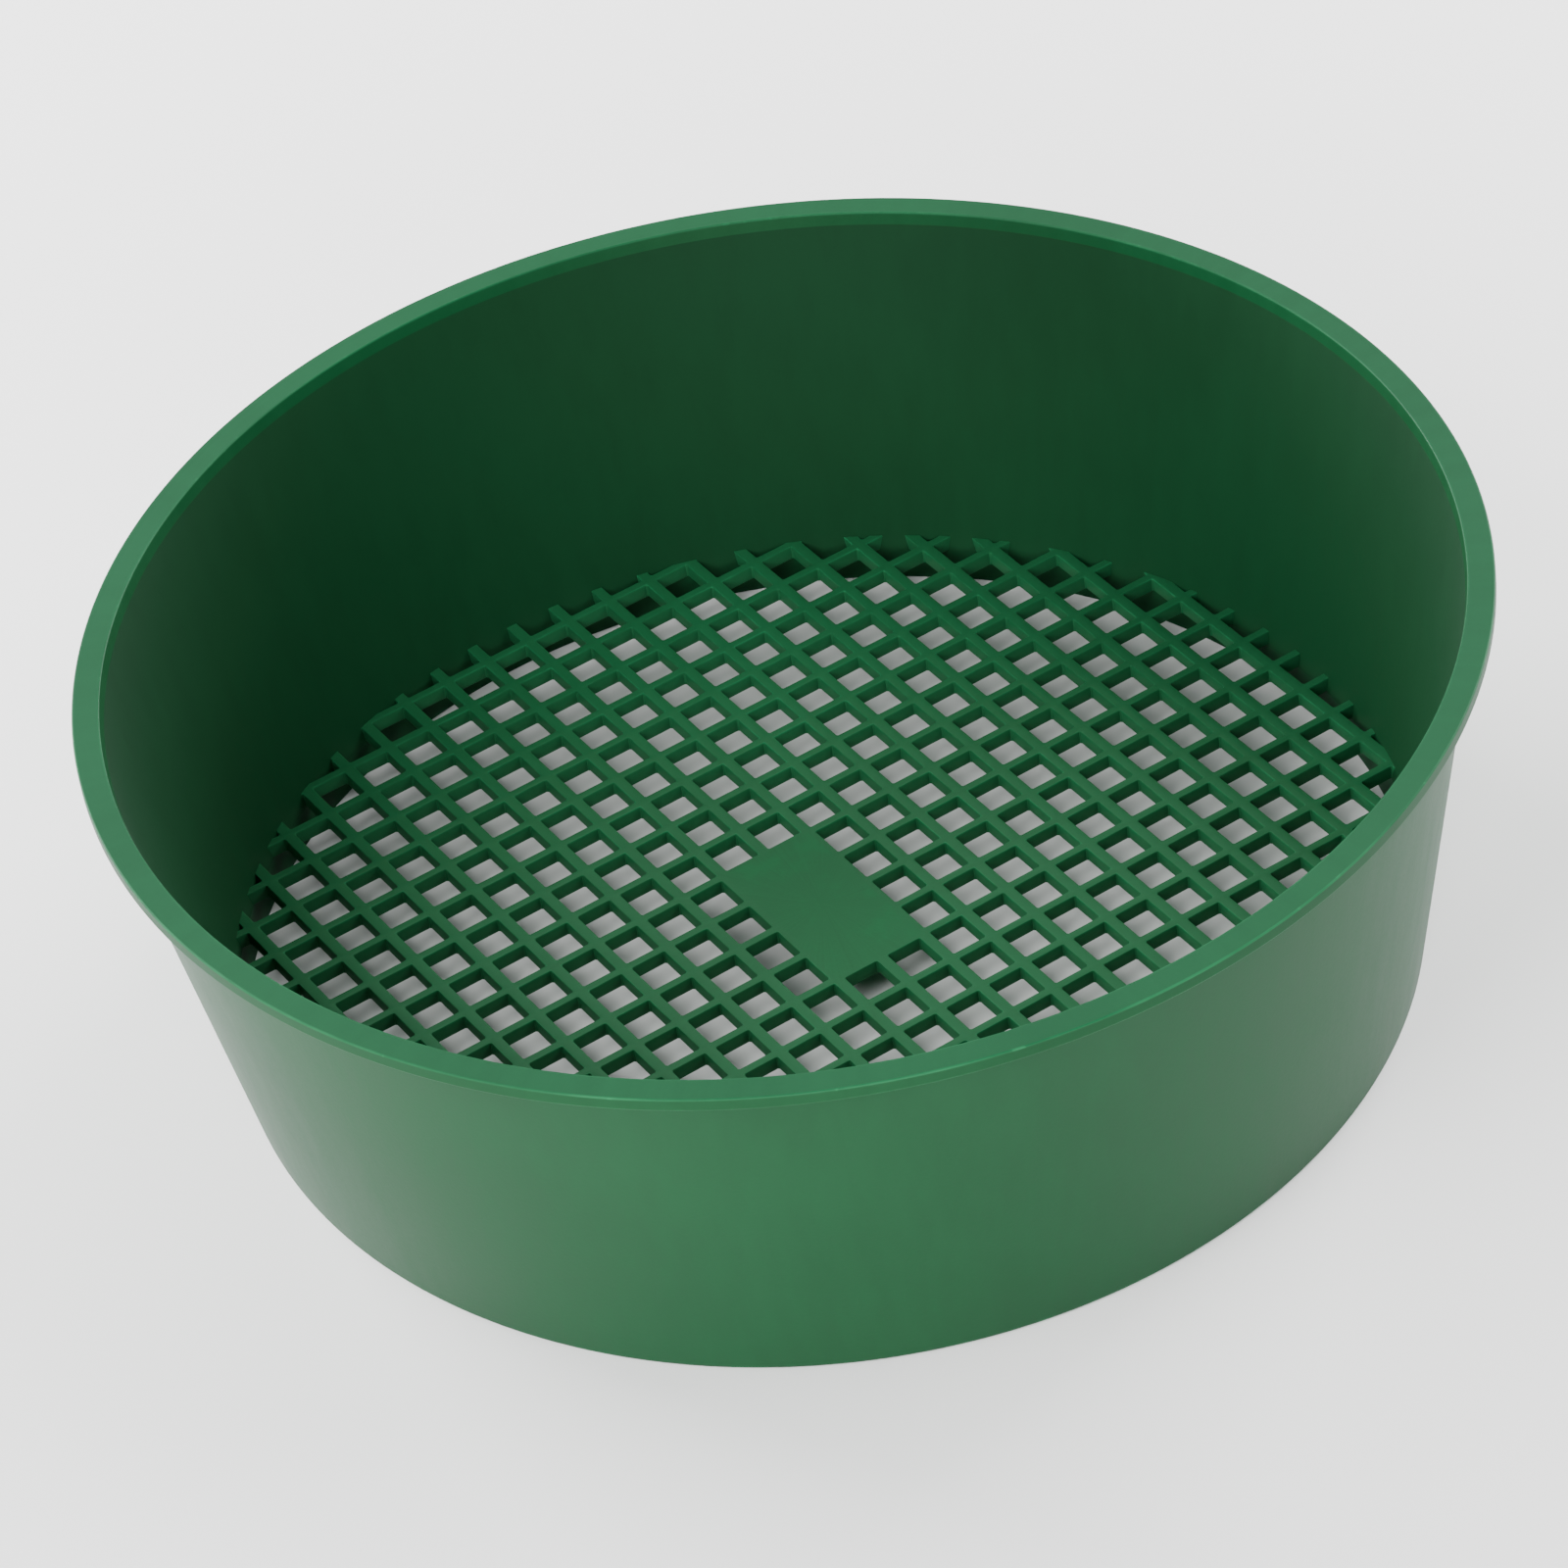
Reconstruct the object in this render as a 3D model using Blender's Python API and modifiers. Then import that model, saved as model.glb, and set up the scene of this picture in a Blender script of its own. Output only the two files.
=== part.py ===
"""Garden soil sieve: a round, tapered bowl of green plastic with a floor of square mesh.

The real bowl leaves its mould in one piece.  It is built here as the five regions that the
mould forms: the rim flange, the side wall, the base skirt, the mesh floor and the solid plate in
the middle of the floor.  Neighbouring regions stand a hairline gap apart.

Metres, +Z up.  The origin is the centre of the circle that the base skirt stands on.
"""

import math

import bmesh
import bpy

# The bowl
OVERALL_HEIGHT = 0.112
RIM_OUTER_RADIUS = 0.180
BASE_OUTER_RADIUS = 0.1567
WALL_THICKNESS = 0.0026  # measured level, from the inner cone to the outer cone

# The rim flange
RIM_OVERHANG = 0.0045  # how far the flange reaches out past the wall
RIM_THICKNESS = 0.0036
RIM_EDGE_RADIUS = 0.0006  # rounding of the flange's three free edges
RIM_REBATE_DEPTH = 0.0008  # how far the top of the wall stands up into the flange

# The mesh floor
MESH_HEIGHT = 0.0088  # from the ground to the underside of the bars
BAR_DEPTH = 0.0044
LONG_BAR_WIDTH = 0.0032  # the bars that run along Y, like the long side of the plate
CROSS_BAR_WIDTH = 0.0024  # the bars that run along X
BAR_PITCH = 0.0134  # between the centre lines of two neighbouring bars

# The plate in the middle of the floor, which fills a block of whole cells
PLATE_CELLS_X = 2
PLATE_CELLS_Y = 4
PLATE_THICKNESS = 0.0028

# The base skirt
FOOT_EDGE_RADIUS = 0.0008  # rounding of the outer edge that meets the ground

# Fits and fineness
REGION_GAP = 0.0003  # between two regions of the one moulding
CUTTER_MARGIN = 0.002  # how far a cutter runs past the faces that it opens
TURNING_STEPS = 72
ROUNDING_STEPS = 3
SMOOTH_ANGLE = math.radians(35)

# Derived heights
FLANGE_UNDERSIDE = OVERALL_HEIGHT - RIM_THICKNESS
REBATE_TOP = FLANGE_UNDERSIDE + RIM_REBATE_DEPTH
MESH_TOP = MESH_HEIGHT + BAR_DEPTH

GREEN = (0.030, 0.165, 0.078)
SHADED_GREEN = (0.022, 0.130, 0.060)


def outer_radius(height):
    """Radius of the wall's outer cone at a height above the ground."""
    top = RIM_OUTER_RADIUS - RIM_OVERHANG
    return BASE_OUTER_RADIUS + (top - BASE_OUTER_RADIUS) * height / OVERALL_HEIGHT


def inner_radius(height):
    """Radius of the wall's inner cone at a height above the ground."""
    return outer_radius(height) - WALL_THICKNESS


def clear_scene():
    for obj in list(bpy.data.objects):
        bpy.data.objects.remove(obj, do_unlink=True)


def new_collection(name):
    collection = bpy.data.collections.new(name)
    bpy.context.scene.collection.children.link(collection)
    return collection


def plastic(name, colour, roughness):
    """Through-coloured moulded plastic."""
    material = bpy.data.materials.new(name)
    material.use_nodes = True
    shader = material.node_tree.nodes["Principled BSDF"]
    shader.inputs["Base Color"].default_value = (*colour, 1.0)
    shader.inputs["Roughness"].default_value = roughness
    shader.inputs["Metallic"].default_value = 0.0
    return material


def add_object(name, mesh, collection, material=None):
    obj = bpy.data.objects.new(name, mesh)
    if material:
        mesh.materials.append(material)
    collection.objects.link(obj)
    return obj


def finish_bmesh(bm, name):
    mesh = bpy.data.meshes.new(name)
    bm.to_mesh(mesh)
    bm.free()
    return mesh


def shade_smooth(mesh):
    mesh.shade_smooth()
    mesh.set_sharp_from_angle(angle=SMOOTH_ANGLE)


def rounded_corner(radius, height, size, start_degrees, end_degrees):
    """Points on a quarter round about the centre (radius, height)."""
    points = []
    for step in range(ROUNDING_STEPS + 1):
        turn = math.radians(start_degrees + (end_degrees - start_degrees) * step / ROUNDING_STEPS)
        points.append((radius + size * math.cos(turn), height + size * math.sin(turn)))
    return points


def turned_ring(name, profile, collection, material):
    """Full turn of a closed outline of (radius, height) points, which runs down its outer side."""
    bm = bmesh.new()
    corners = [bm.verts.new((radius, 0.0, height)) for radius, height in profile]
    for index, corner in enumerate(corners):
        bm.edges.new((corner, corners[(index + 1) % len(corners)]))
    ring = add_object(name, finish_bmesh(bm, name), collection, material)
    screw = ring.modifiers.new("turn", "SCREW")
    screw.axis = "Z"
    screw.angle = math.tau
    screw.steps = TURNING_STEPS
    screw.render_steps = TURNING_STEPS
    screw.use_merge_vertices = True
    screw.merge_threshold = 0.00001
    screw.use_smooth_shade = True
    return ring


def build_rim_flange(collection, material):
    """Flat band that crowns the wall and stands out past it, with rounded free edges.

    Its flat underside starts clear of the wall, whose top stands in a shallow rebate.
    """
    edge = RIM_EDGE_RADIUS
    bore_top = inner_radius(OVERALL_HEIGHT)
    rebate = outer_radius(REBATE_TOP) + REGION_GAP
    profile = rounded_corner(RIM_OUTER_RADIUS - edge, OVERALL_HEIGHT - edge, edge, 90, 0)
    profile += rounded_corner(RIM_OUTER_RADIUS - edge, FLANGE_UNDERSIDE + edge, edge, 0, -90)
    profile.append((rebate, FLANGE_UNDERSIDE))
    profile.append((rebate, REBATE_TOP))
    profile.append((inner_radius(REBATE_TOP), REBATE_TOP))
    profile += rounded_corner(bore_top + edge, OVERALL_HEIGHT - edge, edge, 180, 90)
    return turned_ring("rim_flange", profile, collection, material)


def build_side_wall(collection, material):
    """Tapered wall from the underside of the mesh up into the flange's rebate."""
    top = REBATE_TOP - REGION_GAP
    profile = [
        (outer_radius(top), top),
        (outer_radius(MESH_HEIGHT), MESH_HEIGHT),
        (inner_radius(MESH_HEIGHT), MESH_HEIGHT),
        (inner_radius(top), top),
    ]
    return turned_ring("side_wall", profile, collection, material)


def build_base_skirt(collection, material):
    """Short ring below the mesh that the sieve stands on, with a flat foot face."""
    top = MESH_HEIGHT - REGION_GAP
    edge = FOOT_EDGE_RADIUS
    profile = [(outer_radius(top), top)]
    profile += rounded_corner(outer_radius(edge) - edge, edge, edge, 0, -90)
    profile.append((inner_radius(0.0), 0.0))
    profile.append((inner_radius(top), top))
    return turned_ring("base_skirt", profile, collection, material)


def cell_opening():
    """Size of one cell's hole along X and along Y."""
    return BAR_PITCH - LONG_BAR_WIDTH, BAR_PITCH - CROSS_BAR_WIDTH


def cell_centres():
    """Centres of the mesh cells that reach inside the wall, outside the plate's block."""
    opening_x, opening_y = cell_opening()
    reach = inner_radius(MESH_TOP)
    count = math.ceil(reach / BAR_PITCH)
    for column in range(-count, count):
        for row in range(-count, count):
            x = (column + 0.5) * BAR_PITCH
            y = (row + 0.5) * BAR_PITCH
            nearest = math.hypot(abs(x) - opening_x / 2, abs(y) - opening_y / 2)
            in_plate = abs(x) < PLATE_CELLS_X * BAR_PITCH / 2 and abs(y) < PLATE_CELLS_Y * BAR_PITCH / 2
            if nearest < reach and not in_plate:
                yield x, y


def add_box(bm, x, y, z, width, length, height):
    box = bmesh.ops.create_cube(bm, size=1.0)
    bmesh.ops.scale(bm, vec=(width, length, height), verts=box["verts"])
    bmesh.ops.translate(bm, vec=(x, y, z), verts=box["verts"])


def plate_block():
    """Width and length of the opening that the plate fills, between the bars around it."""
    width = PLATE_CELLS_X * BAR_PITCH - LONG_BAR_WIDTH
    length = PLATE_CELLS_Y * BAR_PITCH - CROSS_BAR_WIDTH
    return width, length


def build_mesh_cutter(collection):
    """One square-cornered prism for each cell, and one block for the plate's opening."""
    bm = bmesh.new()
    height = BAR_DEPTH + 2 * CUTTER_MARGIN
    middle = MESH_HEIGHT + BAR_DEPTH / 2
    for x, y in cell_centres():
        add_box(bm, x, y, middle, *cell_opening(), height)
    add_box(bm, 0.0, 0.0, middle, *plate_block(), height)
    cutter = add_object("mesh_cutter", finish_bmesh(bm, "mesh_cutter"), collection)
    cutter.hide_render = True
    cutter.display_type = "WIRE"
    return cutter


def build_sieve_mesh(collection, cutters, material):
    """Grid of deep straight bars that end at the tapered wall."""
    bm = bmesh.new()
    disc = bmesh.ops.create_cone(
        bm,
        cap_ends=True,
        segments=TURNING_STEPS,
        radius1=inner_radius(MESH_HEIGHT) - REGION_GAP,
        radius2=inner_radius(MESH_TOP) - REGION_GAP,
        depth=BAR_DEPTH,
    )
    bmesh.ops.translate(bm, vec=(0.0, 0.0, MESH_HEIGHT + BAR_DEPTH / 2), verts=disc["verts"])
    grid = add_object("sieve_mesh", finish_bmesh(bm, "sieve_mesh"), collection, material)
    cut = grid.modifiers.new("cells", "BOOLEAN")
    cut.operation = "DIFFERENCE"
    cut.solver = "EXACT"
    cut.object = build_mesh_cutter(cutters)
    return grid


def build_centre_plate(collection, material):
    """Solid plate in the middle of the floor, flush with the tops of the bars."""
    width, length = plate_block()
    bm = bmesh.new()
    add_box(
        bm,
        0.0,
        0.0,
        MESH_TOP - PLATE_THICKNESS / 2,
        width - 2 * REGION_GAP,
        length - 2 * REGION_GAP,
        PLATE_THICKNESS,
    )
    return add_object("centre_plate", finish_bmesh(bm, "centre_plate"), collection, material)


def build_sieve():
    clear_scene()
    parts = new_collection("soil_sieve")
    cutters = new_collection("cutters")
    satin = plastic("green_plastic", GREEN, 0.42)
    shaded = plastic("mesh_green_plastic", SHADED_GREEN, 0.48)
    flange = build_rim_flange(parts, satin)
    wall = build_side_wall(parts, satin)
    skirt = build_base_skirt(parts, satin)
    build_sieve_mesh(parts, cutters, shaded)
    build_centre_plate(parts, shaded)
    for ring in (flange, wall, skirt):
        shade_smooth(ring.data)


build_sieve()
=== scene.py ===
import math

import bmesh
import bpy
from mathutils import Matrix, Vector


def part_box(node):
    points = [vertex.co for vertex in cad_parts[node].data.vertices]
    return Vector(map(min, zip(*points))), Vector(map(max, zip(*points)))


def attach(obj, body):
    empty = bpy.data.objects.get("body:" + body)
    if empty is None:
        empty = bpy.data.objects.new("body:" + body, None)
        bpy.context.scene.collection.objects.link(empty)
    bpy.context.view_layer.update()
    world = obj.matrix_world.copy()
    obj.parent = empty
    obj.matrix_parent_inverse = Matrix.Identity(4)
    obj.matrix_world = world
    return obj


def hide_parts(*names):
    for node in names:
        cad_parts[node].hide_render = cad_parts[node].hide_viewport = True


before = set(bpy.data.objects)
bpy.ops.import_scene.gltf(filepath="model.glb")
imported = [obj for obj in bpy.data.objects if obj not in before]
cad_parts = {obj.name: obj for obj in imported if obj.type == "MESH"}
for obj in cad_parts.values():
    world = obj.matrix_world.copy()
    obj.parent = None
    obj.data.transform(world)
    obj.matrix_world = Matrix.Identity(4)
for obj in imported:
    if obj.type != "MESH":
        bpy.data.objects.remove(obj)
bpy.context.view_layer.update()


# The camera: a long lens that looks down into the bowl across the corner of the
# mesh, turned a little about its own axis so that the left of the rim hangs low,
# and aimed between the rim and the floor of the bowl.
CAMERA_AZIMUTH = math.radians(-28.01)
CAMERA_ELEVATION = math.radians(39.57)
CAMERA_ROLL = math.radians(-8.82)
CAMERA_DISTANCE = 1.5685
CAMERA_AIM = Vector((-0.0175, -0.0221, 0.0784))
LENS_MILLIMETRES = 142.98
SENSOR_MILLIMETRES = 36.0
CAMERA_REACH = 20.0

camera = bpy.data.objects.new("camera", bpy.data.cameras.new("camera"))
bpy.context.scene.collection.objects.link(camera)
camera.data.lens = LENS_MILLIMETRES
camera.data.sensor_width = SENSOR_MILLIMETRES
camera.data.clip_end = CAMERA_REACH
camera.matrix_world = (
    Matrix.Translation(CAMERA_AIM)
    @ Matrix.Rotation(CAMERA_AZIMUTH, 4, "Z")
    @ Matrix.Rotation(math.pi / 2 - CAMERA_ELEVATION, 4, "X")
    @ Matrix.Rotation(CAMERA_ROLL, 4, "Z")
    @ Matrix.Translation((0.0, 0.0, CAMERA_DISTANCE))
)
bpy.context.scene.camera = camera


# The floor: a flat sheet of matt white backdrop paper. The patch that the sieve
# covers is painted grey as a painted shadow, with an edge that fades and wanders a little.
FLOOR_HALF_WIDTH = 3.0
FLOOR_WHITE = (0.92, 0.92, 0.92, 1.0)
FLOOR_SHADOW_GREY = (0.65, 0.66, 0.655, 1.0)
FLOOR_ROUGHNESS = 0.9
SHADOW_FULL_REACH = 0.135  # the painted shadow is fully grey inside this radius
SHADOW_END_REACH = 0.165  # and gone outside this one
SHADOW_WANDER = 0.02


class Field:
    """A number or a colour that varies over a surface: arithmetic on it adds Math nodes."""

    def __init__(self, finish, socket):
        self.finish = finish
        self.socket = socket

    def maths(self, operation, other):
        return self.finish.node("ShaderNodeMath", {"operation": operation}, {0: self, 1: other})

    def __add__(self, other):
        return self.maths("ADD", other)

    def __sub__(self, other):
        return self.maths("SUBTRACT", other)

    def __rsub__(self, other):
        return self.finish.node("ShaderNodeMath", {"operation": "SUBTRACT"}, {0: other, 1: self})

    def __mul__(self, other):
        return self.maths("MULTIPLY", other)

    def __truediv__(self, other):
        return self.maths("DIVIDE", other)

    __radd__ = __add__
    __rmul__ = __mul__


class Finish:
    """The node tree of one surface finish, which knows where on the object each spot lies."""

    def __init__(self, name):
        self.material = bpy.data.materials.new(name)
        self.material.use_nodes = True
        self.tree = self.material.node_tree
        self.shader = self.tree.nodes["Principled BSDF"]
        self.place = self.node("ShaderNodeTexCoord", output="Object")
        split = self.node("ShaderNodeSeparateXYZ", None, {0: self.place}).socket.node
        self.x, self.y, self.height = (Field(self, output) for output in split.outputs)
        square = self.x * self.x + self.y * self.y
        self.radius = self.node("ShaderNodeMath", {"operation": "SQRT"}, {0: square})

    def node(self, kind, settings=None, inputs=None, output=0):
        made = self.tree.nodes.new(kind)
        for name, value in (settings or {}).items():
            setattr(made, name, value)
        for name, value in (inputs or {}).items():
            self.feed(made.inputs[name], value)
        return Field(self, made.outputs[output])

    def feed(self, socket, value):
        if isinstance(value, Field):
            self.tree.links.new(value.socket, socket)
        else:
            socket.default_value = value

    def noise(self, scale, detail=2.0, roughness=0.5, vector=None):
        inputs = {"Vector": vector or self.place, "Scale": scale, "Detail": detail, "Roughness": roughness}
        return self.node("ShaderNodeTexNoise", None, inputs)

    def step(self, value, low, high):
        """0 below low, 1 above high, and a smooth rise between them."""
        settings = {"interpolation_type": "SMOOTHSTEP"}
        inputs = {"Value": value, "From Min": low, "From Max": high}
        return self.node("ShaderNodeMapRange", settings, inputs)

    def mix(self, factor, first, second):
        settings = {"data_type": "RGBA", "clamp_factor": True}
        return self.node("ShaderNodeMix", settings, {0: factor, 6: first, 7: second}, output=2)

    def bump(self, relief, depth):
        """Surface relief, which runs from 0 to 1 and is depth metres high."""
        inputs = {"Strength": 1.0, "Distance": depth, "Height": relief}
        self.feed(self.shader.inputs["Normal"], self.node("ShaderNodeBump", None, inputs))

    def set(self, **inputs):
        for name, value in inputs.items():
            self.feed(self.shader.inputs[name.replace("_", " ")], value)


def settle(name, bm, finish):
    """Turn a finished bmesh into an object with its place in its mesh."""
    mesh = bpy.data.meshes.new(name)
    bm.to_mesh(mesh)
    bm.free()
    mesh.materials.append(finish.material)
    piece = bpy.data.objects.new(name, mesh)
    bpy.context.scene.collection.objects.link(piece)
    return piece


floor_finish = Finish("floor_paper")
# Painted shadow: the floor turns grey under the sieve, where its wall shades the ground.
shadow_spread = floor_finish.radius + floor_finish.noise(scale=2.5) * SHADOW_WANDER
past_painted_shadow = floor_finish.step(shadow_spread, SHADOW_FULL_REACH, SHADOW_END_REACH)
floor_finish.set(
    Base_Color=floor_finish.mix(past_painted_shadow, FLOOR_SHADOW_GREY, FLOOR_WHITE),
    Roughness=FLOOR_ROUGHNESS,
)
floor_bm = bmesh.new()
bmesh.ops.create_grid(floor_bm, x_segments=1, y_segments=1, size=FLOOR_HALF_WIDTH)
settle("studio_floor", floor_bm, floor_finish)


# The lights: square soft boxes that stand in a ring round the bowl, four of them
# low and four higher up. The room adds a faint and even glow.
SOFTBOX_SIZE = 1.1
SOFTBOX_DISTANCE = 2.0
BOWL_MIDDLE = Vector((0.0, 0.0, 0.06))
ROOM_TINT = (0.97, 0.98, 1.0, 1.0)
ROOM_GLOW = 0.15


def softbox(name, bearing, elevation, power):
    """A soft box aimed at the bowl: bearing is in degrees from straight behind it, turning right."""
    lamp = bpy.data.lights.new(name, "AREA")
    lamp.shape = "SQUARE"
    lamp.size = SOFTBOX_SIZE
    lamp.energy = power
    holder = bpy.data.objects.new(name, lamp)
    bpy.context.scene.collection.objects.link(holder)
    turn_from_behind = Matrix.Rotation(CAMERA_AZIMUTH - math.radians(bearing), 4, "Z")
    lift = Matrix.Rotation(math.radians(elevation), 4, "X")
    away = turn_from_behind @ lift @ Vector((0.0, SOFTBOX_DISTANCE, 0.0))
    aim = (-away).to_track_quat("-Z", "Y").to_matrix().to_4x4()
    holder.matrix_world = Matrix.Translation(BOWL_MIDDLE + away) @ aim


softbox("back_left_softbox", bearing=-45, elevation=15, power=112.0)
softbox("back_right_softbox", bearing=45, elevation=15, power=100.0)
softbox("front_softbox", bearing=180, elevation=15, power=51.0)
softbox("low_left_softbox", bearing=-135, elevation=15, power=28.0)
softbox("front_left_softbox", bearing=-135, elevation=45, power=35.0)
softbox("left_softbox", bearing=-90, elevation=45, power=13.0)
softbox("right_softbox", bearing=90, elevation=45, power=24.0)
softbox("high_back_softbox", bearing=0, elevation=45, power=13.0)

world = bpy.data.worlds.new("studio")
world.use_nodes = True
background = world.node_tree.nodes["Background"]
background.inputs["Color"].default_value = ROOM_TINT
background.inputs["Strength"].default_value = ROOM_GLOW
bpy.context.scene.world = world


# The rim: a flat band of the green polypropylene that crowns the wall and stands
# out past it. Its top face is painted lighter, as painted light from above. The mould
# rounds its edges, and their thin bright lines are a painted highlight, patchy, with painted glints at
# small nicks.
RIM_LOW, RIM_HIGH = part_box("rim_flange")
WALL_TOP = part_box("side_wall")[1]
SKIRT_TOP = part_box("base_skirt")[1]
BOWL_HEIGHT = RIM_HIGH.z
RIM_RADIUS = RIM_HIGH.x
RIM_UNDERSIDE = RIM_LOW.z
WALL_THICKNESS = 0.0026  # measured level
WALL_SLOPE = (WALL_TOP.x - SKIRT_TOP.x) / (WALL_TOP.z - SKIRT_TOP.z)
RIM_ROUND = 0.0004
TURNS = 288
ROUND_STEPS = 4
HOLD = 0.0002  # from a corner to the point beside it that keeps the face flat

DEEP_GREEN = (0.0032, 0.0390, 0.0125, 1.0)
LEAF_GREEN = (0.0040, 0.0475, 0.0157, 1.0)
# The rim's top face is the same plastic painted lighter, as painted light from above.
RIM_TOP_LIT_DEEP = (0.0034, 0.0505, 0.0182, 1.0)
RIM_TOP_LIT_LEAF = (0.0045, 0.0608, 0.0226, 1.0)
# Lighter green for the painted highlight on the rim's edges and for real scuffs on the skirt's foot.
SCUFF_AND_HIGHLIGHT_GREEN = (0.0110, 0.1180, 0.0450, 1.0)
SATIN = 0.42
PLASTIC_IOR = 1.49

TOP_FADE_START = 0.0005  # the painted lighter top face fades in from this far below it
TOP_FADE_END = 0.0002
EDGE_HIGHLIGHT_REACH = 0.0007  # how far the painted highlight reaches from the top, lower and inner edges
OUTER_EDGE_HIGHLIGHT_REACH = 0.0006  # and from the outer one
HIGHLIGHT_FADE = 0.0004  # the last part of that reach, where it fades out
DIMMER_EDGE_SHARE = 0.4  # painted highlight of the inner and lower edges, as a share of the outer top edge's
# Shares of the painted highlight: patchy along the edges, painted glints at nicks, and an even part.
PATCHY_HIGHLIGHT = 0.55
NICK_GLINT = 0.6
EVEN_HIGHLIGHT = 0.25


def outer_radius(height):
    """Radius of the wall's outer face at a height above the ground."""
    return WALL_TOP.x + WALL_SLOPE * (height - WALL_TOP.z)


def inner_radius(height):
    """Radius of the wall's inner face at a height above the ground."""
    return outer_radius(height) - WALL_THICKNESS


def rounded(radius, height, size, first, last):
    """Points on a round of the outline, from one direction to another in degrees."""
    angles = [math.radians(first + (last - first) * step / ROUND_STEPS) for step in range(ROUND_STEPS + 1)]
    return [(radius + size * math.cos(angle), height + size * math.sin(angle)) for angle in angles]


def stretch(start, end, steps=1):
    """The inner points of a straight run, the first and last of them close to its ends."""
    hold = HOLD / math.dist(start, end)
    shares = [hold] + [step / steps for step in range(1, steps)] + [1.0 - hold]
    return [tuple(a + (b - a) * share for a, b in zip(start, end)) for share in shares]


def chain(*runs):
    """Join rounds and single corners into one closed outline by straight runs."""
    outline = []
    for index, run in enumerate(runs):
        following = runs[(index + 1) % len(runs)]
        outline += run + stretch(run[-1], following[0])
    return outline


def turn(outline):
    """Spin a closed outline of (radius, height) points once round the bowl's axis."""
    bm = bmesh.new()
    corners = [bm.verts.new((radius, 0.0, height)) for radius, height in outline]
    edges = [bm.edges.new((corner, corners[index - 1])) for index, corner in enumerate(corners)]
    bmesh.ops.spin(
        bm,
        geom=corners + edges,
        cent=(0, 0, 0),
        axis=(0, 0, 1),
        angle=math.tau,
        steps=TURNS,
        use_merge=True,
    )
    bmesh.ops.remove_doubles(bm, verts=bm.verts, dist=1e-6)
    bmesh.ops.recalc_face_normals(bm, faces=bm.faces)
    return bm


def smooth(piece, degrees=35.0):
    """Shade a piece smooth, apart from edges that turn by more than some degrees."""
    piece.data.shade_smooth()
    piece.data.set_sharp_from_angle(angle=math.radians(degrees))
    return piece


def moulded_green(name, dark, light, gloss, relief, shine=0.11):
    """Through-coloured polypropylene with a satin skin.

    Pigment clouds and drawn streaks vary its colour and gloss, and fine grain and pits
    roughen it by relief metres.
    """
    finish = Finish(name)
    around = {0: finish.x / finish.radius, 1: finish.y / finish.radius, 2: finish.height * 1.5}
    drawn = finish.node("ShaderNodeCombineXYZ", None, around)
    clouds = finish.noise(scale=9.0, detail=3.0, roughness=0.55)
    grain = finish.noise(scale=900.0, detail=2.0, roughness=0.6)
    streaks = finish.noise(scale=28.0, detail=3.0, roughness=0.6, vector=drawn)
    pits = finish.noise(scale=2600.0, detail=1.0, roughness=0.5)
    finish.pigment = finish.step(clouds * 0.55 + streaks * 0.3 + grain * 0.15, 0.32, 0.68)
    finish.colour = finish.mix(finish.pigment, dark, light)
    finish.rough = gloss + (clouds - 0.5) * 0.10 + (streaks - 0.5) * 0.08 + (grain - 0.5) * 0.06
    finish.set(Base_Color=finish.colour, Roughness=finish.rough)
    finish.set(IOR=PLASTIC_IOR, Specular_IOR_Level=shine)
    finish.bump(grain * 0.35 + pits * 0.15 + streaks * 0.5, relief)
    return finish


def near(finish, distance, reach):
    """1 on an edge of a piece and 0 at reach from it."""
    return finish.step(reach - distance, 0.0, HIGHLIGHT_FADE)


rim_outline = chain(
    rounded(RIM_RADIUS - RIM_ROUND, BOWL_HEIGHT - RIM_ROUND, RIM_ROUND, 90, 0),
    rounded(RIM_RADIUS - RIM_ROUND, RIM_UNDERSIDE + RIM_ROUND, RIM_ROUND, 0, -90),
    [(inner_radius(RIM_UNDERSIDE), RIM_UNDERSIDE)],
    rounded(inner_radius(BOWL_HEIGHT) + RIM_ROUND, BOWL_HEIGHT - RIM_ROUND, RIM_ROUND, 180, 90),
)

rim_finish = moulded_green("rim_green", DEEP_GREEN, LEAF_GREEN, SATIN, relief=0.00003, shine=0.10)
top_face = rim_finish.step(rim_finish.height, BOWL_HEIGHT - TOP_FADE_START, BOWL_HEIGHT - TOP_FADE_END)
# Painted light: the top face takes the lighter greens.
painted_lit_top = rim_finish.mix(rim_finish.pigment, RIM_TOP_LIT_DEEP, RIM_TOP_LIT_LEAF)
rim_colour = rim_finish.mix(top_face, rim_finish.colour, painted_lit_top)

top_edge = near(rim_finish, BOWL_HEIGHT - rim_finish.height, EDGE_HIGHLIGHT_REACH)
low_edge = near(rim_finish, rim_finish.height - RIM_UNDERSIDE, EDGE_HIGHLIGHT_REACH)
outer_edge = near(rim_finish, RIM_RADIUS - rim_finish.radius, OUTER_EDGE_HIGHLIGHT_REACH)
inner_edge = near(rim_finish, rim_finish.radius - inner_radius(BOWL_HEIGHT), EDGE_HIGHLIGHT_REACH)
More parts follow.
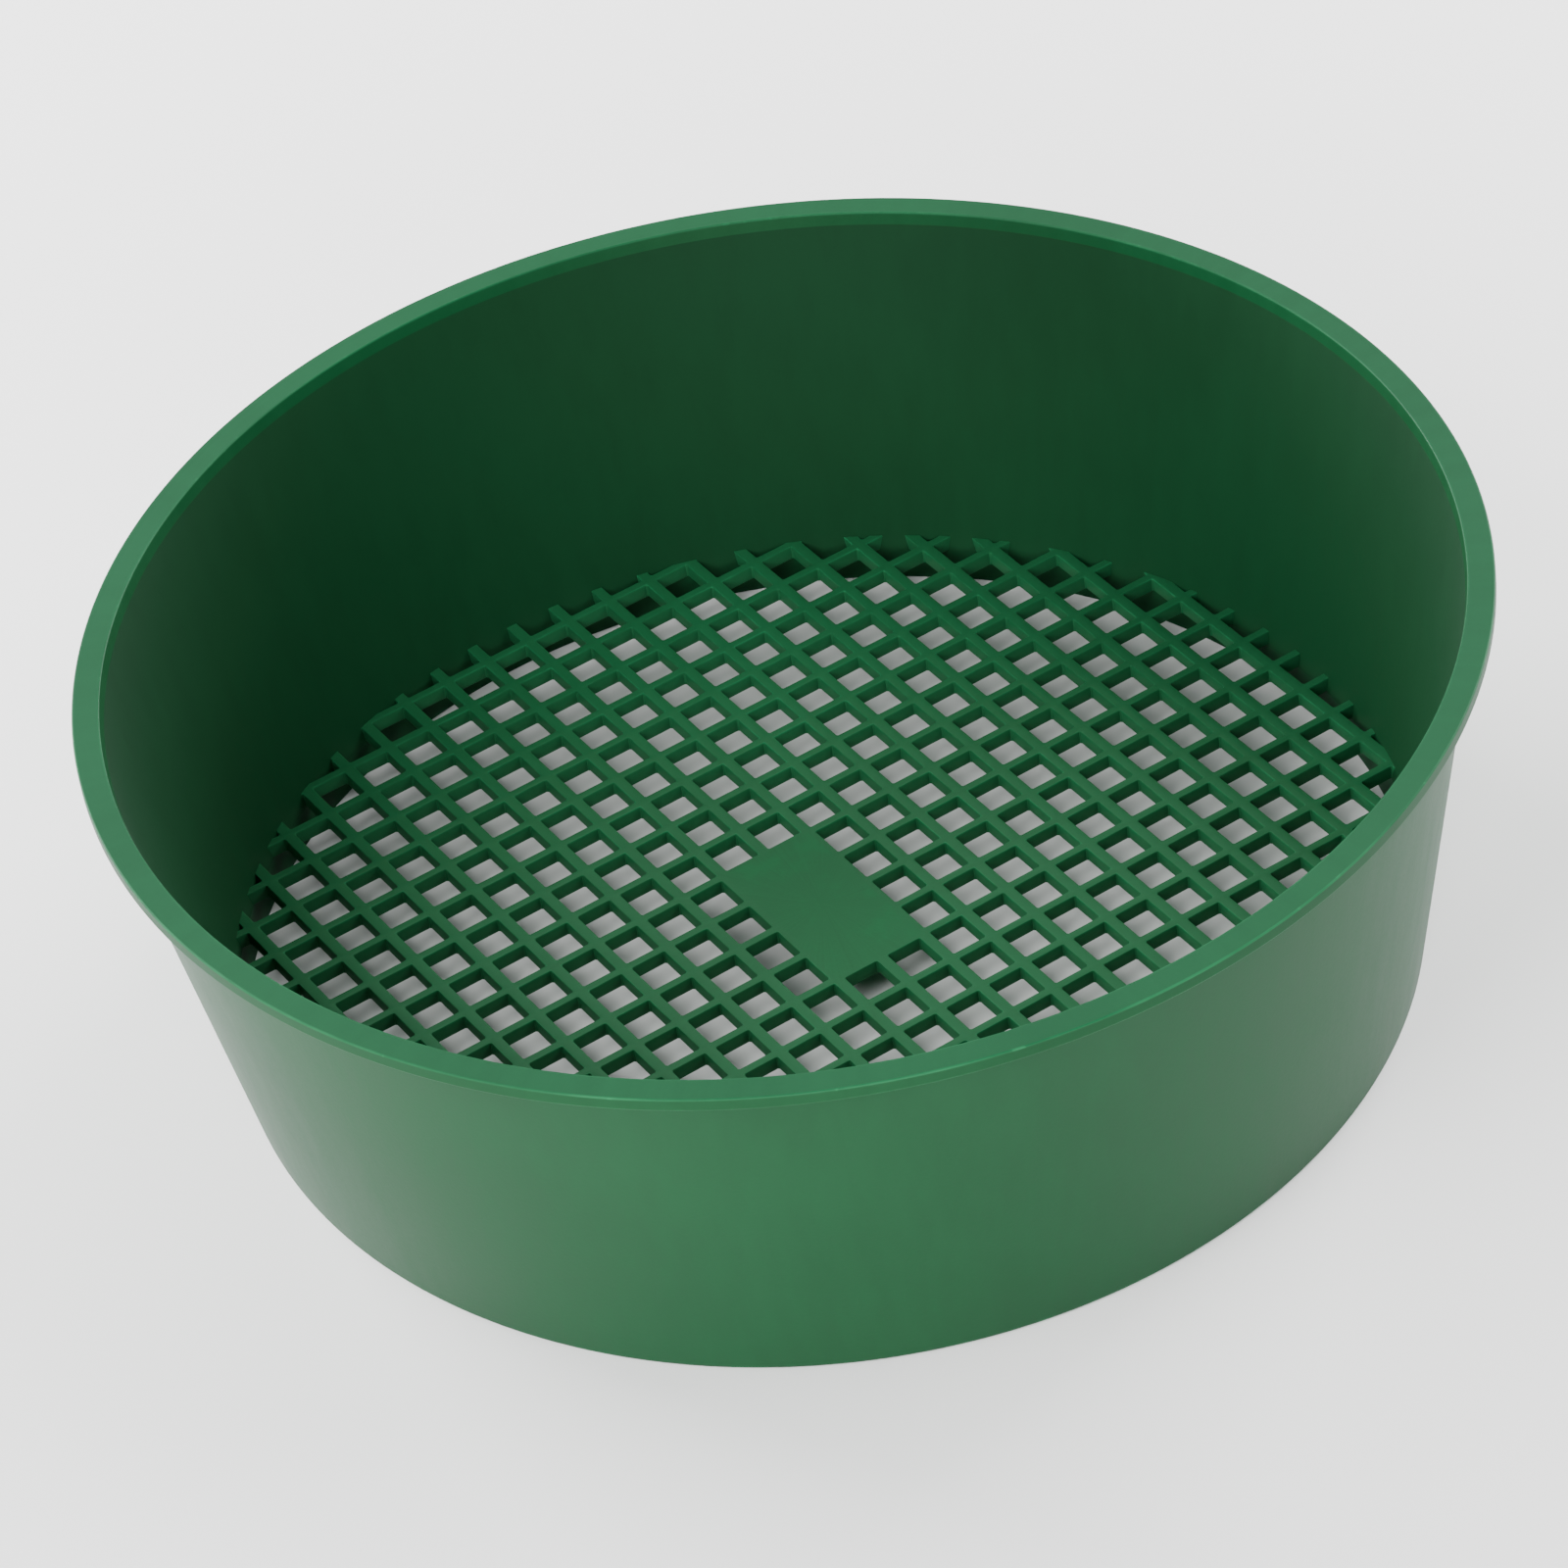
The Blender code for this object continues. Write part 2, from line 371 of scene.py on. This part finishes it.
# Painted highlight along the rounded edges of the rim, patchy and with painted glints.
edges = top_edge * (outer_edge + inner_edge * DIMMER_EDGE_SHARE) + low_edge * outer_edge * DIMMER_EDGE_SHARE
highlight_patches = rim_finish.step(rim_finish.noise(scale=18.0, detail=4.0, roughness=0.65), 0.40, 0.62)
nick_glints = rim_finish.step(rim_finish.noise(scale=240.0, detail=2.0, roughness=0.5), 0.64, 0.70)
edge_highlight = edges * (highlight_patches * PATCHY_HIGHLIGHT + nick_glints * NICK_GLINT + EVEN_HIGHLIGHT)
rim_finish.set(
    Base_Color=rim_finish.mix(edge_highlight, rim_colour, SCUFF_AND_HIGHLIGHT_GREEN),
    Roughness=rim_finish.rough + top_face * 0.09 + edge_highlight * 0.12,
)

rim_band = smooth(settle("rim_band", turn(rim_outline), rim_finish))
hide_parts("rim_flange")
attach(rim_band, "root")


# The side wall: a tapered band of even thickness that runs from the flange down
# past the edge of the mesh. It is satin outside and duller inside, where painted
# shade darkens it most at the rim and less towards the mesh.
WALL_FOOT = SKIRT_TOP.z
WALL_RUN = 24
INNER_SHADE = (0.0, 0.0, 0.0, 1.0)
SHADE_AT_GROUND = 0.03
SHADE_RISE = 0.34  # how much more shade there is at the rim's height
INNER_DULLNESS = 0.2
FACE_FADE = 0.0004  # half the width over which the inner face's look sets in

wall_top_outside = (outer_radius(RIM_UNDERSIDE), RIM_UNDERSIDE)
wall_foot_outside = (outer_radius(WALL_FOOT), WALL_FOOT)
wall_foot_inside = (inner_radius(WALL_FOOT), WALL_FOOT)
wall_top_inside = (inner_radius(RIM_UNDERSIDE), RIM_UNDERSIDE)
wall_outline = [
    wall_top_outside,
    *stretch(wall_top_outside, wall_foot_outside, WALL_RUN),
    wall_foot_outside,
    wall_foot_inside,
    *stretch(wall_foot_inside, wall_top_inside, WALL_RUN),
    wall_top_inside,
]

wall_finish = moulded_green("wall_green", DEEP_GREEN, LEAF_GREEN, SATIN, relief=0.00004)
wall_middle = outer_radius(wall_finish.height) - WALL_THICKNESS / 2
inside = wall_finish.step(wall_middle - wall_finish.radius, -FACE_FADE, FACE_FADE)
# Painted shade on the inner face, deepest at the rim's height and lighter towards the mesh.
shade = inside * (wall_finish.height / BOWL_HEIGHT * SHADE_RISE + SHADE_AT_GROUND)
wall_finish.set(
    Base_Color=wall_finish.mix(shade, wall_finish.colour, INNER_SHADE),
    Roughness=wall_finish.rough + inside * INNER_DULLNESS,
)

wall_band = smooth(settle("wall_band", turn(wall_outline), wall_finish))
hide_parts("side_wall")
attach(wall_band, "root")


# The base skirt: the last stretch of the wall, below the mesh, with a rounded
# outer edge and a flat foot that stands on the ground and is scuffed by it.
FOOT_ROUND = 0.0012
FOOT_INNER_ROUND = 0.0005
FOOT_SCUFF = 0.0016  # how high the scuffs reach

skirt_outline = chain(
    [(outer_radius(SKIRT_TOP.z), SKIRT_TOP.z)],
    rounded(outer_radius(FOOT_ROUND) - FOOT_ROUND, FOOT_ROUND, FOOT_ROUND, 0, -90),
    rounded(inner_radius(0.0) + FOOT_INNER_ROUND, FOOT_INNER_ROUND, FOOT_INNER_ROUND, -90, -180),
    [(inner_radius(SKIRT_TOP.z), SKIRT_TOP.z)],
)

skirt_finish = moulded_green("skirt_green", DEEP_GREEN, LEAF_GREEN, SATIN, relief=0.00004)
scuffs = skirt_finish.step(skirt_finish.noise(scale=130.0, detail=4.0, roughness=0.7), 0.46, 0.64)
foot_wear = skirt_finish.step(FOOT_SCUFF - skirt_finish.height, 0.0, FOOT_SCUFF) * scuffs
skirt_finish.set(
    Base_Color=skirt_finish.mix(foot_wear * 0.7, skirt_finish.colour, SCUFF_AND_HIGHLIGHT_GREEN),
    Roughness=skirt_finish.rough + foot_wear * 0.2,
)

skirt_ring = smooth(settle("skirt_ring", turn(skirt_outline), skirt_finish))
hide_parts("base_skirt")
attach(skirt_ring, "root")


# The mesh floor: straight bars crossing at right angles, deeper than they are wide,
# moulded in one with the wall. Each hole has softened corners and lips and is a
# little wider below, and the bars run on into the thickness of the wall.
MESH_LOW, MESH_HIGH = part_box("sieve_mesh")
BAR_PITCH = 0.0134
LONG_BAR_WIDTH = 0.0032  # the bars that run along Y, like the long side of the plate
CROSS_BAR_WIDTH = 0.0024  # the bars that run along X
BAR_DEPTH = MESH_HIGH.z - MESH_LOW.z
CELL_CORNER = 0.0004
LIP = 0.0002
DRAFT = 0.00015  # how much wider a hole is below, on each side
BAR_ROOT = 0.0012  # how far the bars run into the wall
FLOOR_SIDES = 36
PLATE_CELLS_X = 2
PLATE_CELLS_Y = 4
PLATE_REACH = 3 * BAR_PITCH  # the plate's opening lies within this radius

# The mesh and plate are the wall's plastic painted lighter, as painted light on the floor of the bowl.
MESH_LIT_DEEP = (0.0082, 0.0745, 0.0262, 1.0)
MESH_LIT_LEAF = (0.0102, 0.0900, 0.0332, 1.0)
WORN_BAR = (0.0130, 0.1500, 0.0560, 1.0)
LIP_WEAR = 0.0004  # how far wear reaches from a hole onto the bar
BAR_TOP_FADE_START = 0.0006  # the wear fades in from this far below the bars' tops
BAR_TOP_FADE_END = 0.0002


def corners_in(geometry):
    return [item for item in geometry if isinstance(item, bmesh.types.BMVert)]


def sink(bm, cap, depth, spread):
    """Carry the outline of a hole downwards, and widen it by spread on each side."""
    made = bmesh.ops.extrude_face_region(bm, geom=[cap])["geom"]
    bmesh.ops.delete(bm, geom=[cap], context="FACES_ONLY")
    cap = next(item for item in made if isinstance(item, bmesh.types.BMFace))
    half_x = max(corner.co.x for corner in cap.verts)
    half_y = max(corner.co.y for corner in cap.verts)
    bmesh.ops.scale(bm, vec=(1.0 + spread / half_x, 1.0 + spread / half_y, 1.0), verts=cap.verts)
    bmesh.ops.translate(bm, vec=(0.0, 0.0, -depth), verts=cap.verts)
    return cap


def square_edges(bm, half, height):
    """The four edges of a square outline."""
    corners = bmesh.ops.create_grid(bm, x_segments=1, y_segments=1, size=half)["verts"]
    bmesh.ops.translate(bm, vec=(0.0, 0.0, height), verts=corners)
    face = corners[0].link_faces[0]
    edges = list(face.edges)
    bmesh.ops.delete(bm, geom=[face], context="FACES_ONLY")
    return edges


def cell_tile():
    """One pitch of the mesh round one hole, open along its four borders."""
    bm = bmesh.new()
    half_x = (BAR_PITCH - LONG_BAR_WIDTH) / 2 + LIP
    half_y = (BAR_PITCH - CROSS_BAR_WIDTH) / 2 + LIP
    corners = bmesh.ops.create_grid(bm, x_segments=1, y_segments=1, size=1.0)["verts"]
    bmesh.ops.scale(bm, vec=(half_x, half_y, 1.0), verts=corners)
    bmesh.ops.translate(bm, vec=(0.0, 0.0, MESH_HIGH.z), verts=corners)
    bmesh.ops.bevel(
        bm, geom=corners, offset=CELL_CORNER, segments=1, profile=0.5, affect="VERTICES", material=-1
    )
    cap = bm.faces[:][0]
    top_edges = list(cap.edges)
    # The upper lip is a quarter round in two flats, and the lower one a single flat.
    slant = LIP * (1.0 - math.sqrt(0.5))
    cap = sink(bm, cap, slant, -(LIP - slant))
    cap = sink(bm, cap, LIP - slant, -slant)
    cap = sink(bm, cap, BAR_DEPTH - 2 * LIP, DRAFT)
    cap = sink(bm, cap, LIP, LIP)
    bottom_edges = list(cap.edges)
    bmesh.ops.delete(bm, geom=[cap], context="FACES_ONLY")
    for hole_edges, height in ((top_edges, MESH_HIGH.z), (bottom_edges, MESH_LOW.z)):
        border = square_edges(bm, BAR_PITCH / 2, height)
        bmesh.ops.triangle_fill(bm, use_beauty=True, use_dissolve=False, edges=hole_edges + border)
    return bm


def in_plate(x, y):
    return abs(x) < PLATE_CELLS_X * BAR_PITCH / 2 and abs(y) < PLATE_CELLS_Y * BAR_PITCH / 2


def lay_cells(bm, reach):
    """Repeat the tile over every cell that reaches inside the wall, round the plate."""
    tile = bm.verts[:] + bm.edges[:] + bm.faces[:]
    count = math.ceil(reach / BAR_PITCH)
    for column in range(-count, count):
        for row in range(-count, count):
            x, y = (column + 0.5) * BAR_PITCH, (row + 0.5) * BAR_PITCH
            nearest = math.hypot(abs(x) - BAR_PITCH / 2, abs(y) - BAR_PITCH / 2)
            if nearest < reach and not in_plate(x, y):
                copy = bmesh.ops.duplicate(bm, geom=tile)["geom"]
                bmesh.ops.translate(bm, vec=(x, y, 0.0), verts=corners_in(copy))
    bmesh.ops.delete(bm, geom=corners_in(tile), context="VERTS")
    bmesh.ops.remove_doubles(bm, verts=bm.verts, dist=1e-6)


def close_borders(bm):
    """Join the tops and undersides of the cells round the plate's opening and round the outside."""
    borders = {"opening": [], "outside": []}
    for edge in bm.edges:
        if edge.is_boundary:
            middle = (edge.verts[0].co + edge.verts[1].co) / 2
            borders["opening" if middle.xy.length < PLATE_REACH else "outside"].append(edge)
    for border in borders.values():
        bmesh.ops.bridge_loops(bm, edges=border)


def trim_to_wall(bm, reach):
    """Cut the closed field of cells to a round outline, and close each straight cut."""
    for side in range(FLOOR_SIDES):
        angle = math.tau * side / FLOOR_SIDES
        outward = Vector((math.cos(angle), math.sin(angle), 0.0))
        cut = bmesh.ops.bisect_plane(
            bm,
            geom=bm.verts[:] + bm.edges[:] + bm.faces[:],
            dist=1e-7,
            plane_co=outward * reach,
            plane_no=outward,
            clear_outer=True,
        )["geom_cut"]
        ends = [item for item in cut if isinstance(item, bmesh.types.BMEdge) and item.is_boundary]
        bmesh.ops.holes_fill(bm, edges=ends, sides=0)


def face_outwards(bm):
    """Make the faces of a closed body agree, and turn them out if they point in."""
    bmesh.ops.recalc_face_normals(bm, faces=bm.faces)
    if bm.calc_volume(signed=True) < 0.0:
        bmesh.ops.reverse_faces(bm, faces=bm.faces)


floor_reach = inner_radius(MESH_HIGH.z) + BAR_ROOT
mesh_bm = cell_tile()
lay_cells(mesh_bm, floor_reach)
close_borders(mesh_bm)
trim_to_wall(mesh_bm, floor_reach)
face_outwards(mesh_bm)

mesh_finish = moulded_green("mesh_green", MESH_LIT_DEEP, MESH_LIT_LEAF, gloss=0.46, relief=0.00004)
past_long_bar = mesh_finish.x.maths("PINGPONG", BAR_PITCH / 2) - LONG_BAR_WIDTH / 2
past_cross_bar = mesh_finish.y.maths("PINGPONG", BAR_PITCH / 2) - CROSS_BAR_WIDTH / 2
lips = mesh_finish.step(past_long_bar.maths("MINIMUM", past_cross_bar), -LIP_WEAR, 0.0)
on_top = mesh_finish.step(
    mesh_finish.height, MESH_HIGH.z - BAR_TOP_FADE_START, MESH_HIGH.z - BAR_TOP_FADE_END
)
rubs = mesh_finish.step(mesh_finish.noise(scale=45.0, detail=4.0, roughness=0.65), 0.42, 0.66)
bar_wear = lips * on_top * (rubs * 0.5 + 0.1)
mesh_finish.set(
    Base_Color=mesh_finish.mix(bar_wear, mesh_finish.colour, WORN_BAR),
    Roughness=mesh_finish.rough + bar_wear * 0.15,
)

mesh_floor = smooth(settle("mesh_floor", mesh_bm, mesh_finish))
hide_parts("sieve_mesh")
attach(mesh_floor, "root")


# The centre plate: a solid block of cells in the middle of the mesh, flush with the
# tops of the bars and shallower than they are, where the mould is filled.
PLATE_LOW, PLATE_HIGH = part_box("centre_plate")
PLATE_SIZE = (PLATE_CELLS_X * BAR_PITCH, PLATE_CELLS_Y * BAR_PITCH, PLATE_HIGH.z - PLATE_LOW.z)

plate_bm = bmesh.new()
block = bmesh.ops.create_cube(plate_bm, size=1.0)["verts"]
bmesh.ops.scale(plate_bm, vec=PLATE_SIZE, verts=block)
bmesh.ops.translate(plate_bm, vec=(0.0, 0.0, (PLATE_HIGH.z + PLATE_LOW.z) / 2), verts=block)

plate_finish = moulded_green("plate_green", MESH_LIT_DEEP, MESH_LIT_LEAF, gloss=0.50, relief=0.00005)
scrapes = plate_finish.step(plate_finish.noise(scale=70.0, detail=5.0, roughness=0.7), 0.50, 0.70)
plate_finish.set(
    Base_Color=plate_finish.mix(scrapes * 0.18, plate_finish.colour, WORN_BAR),
    Roughness=plate_finish.rough + scrapes * 0.1,
)

gate_plate = smooth(settle("gate_plate", plate_bm, plate_finish))
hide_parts("centre_plate")
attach(gate_plate, "root")
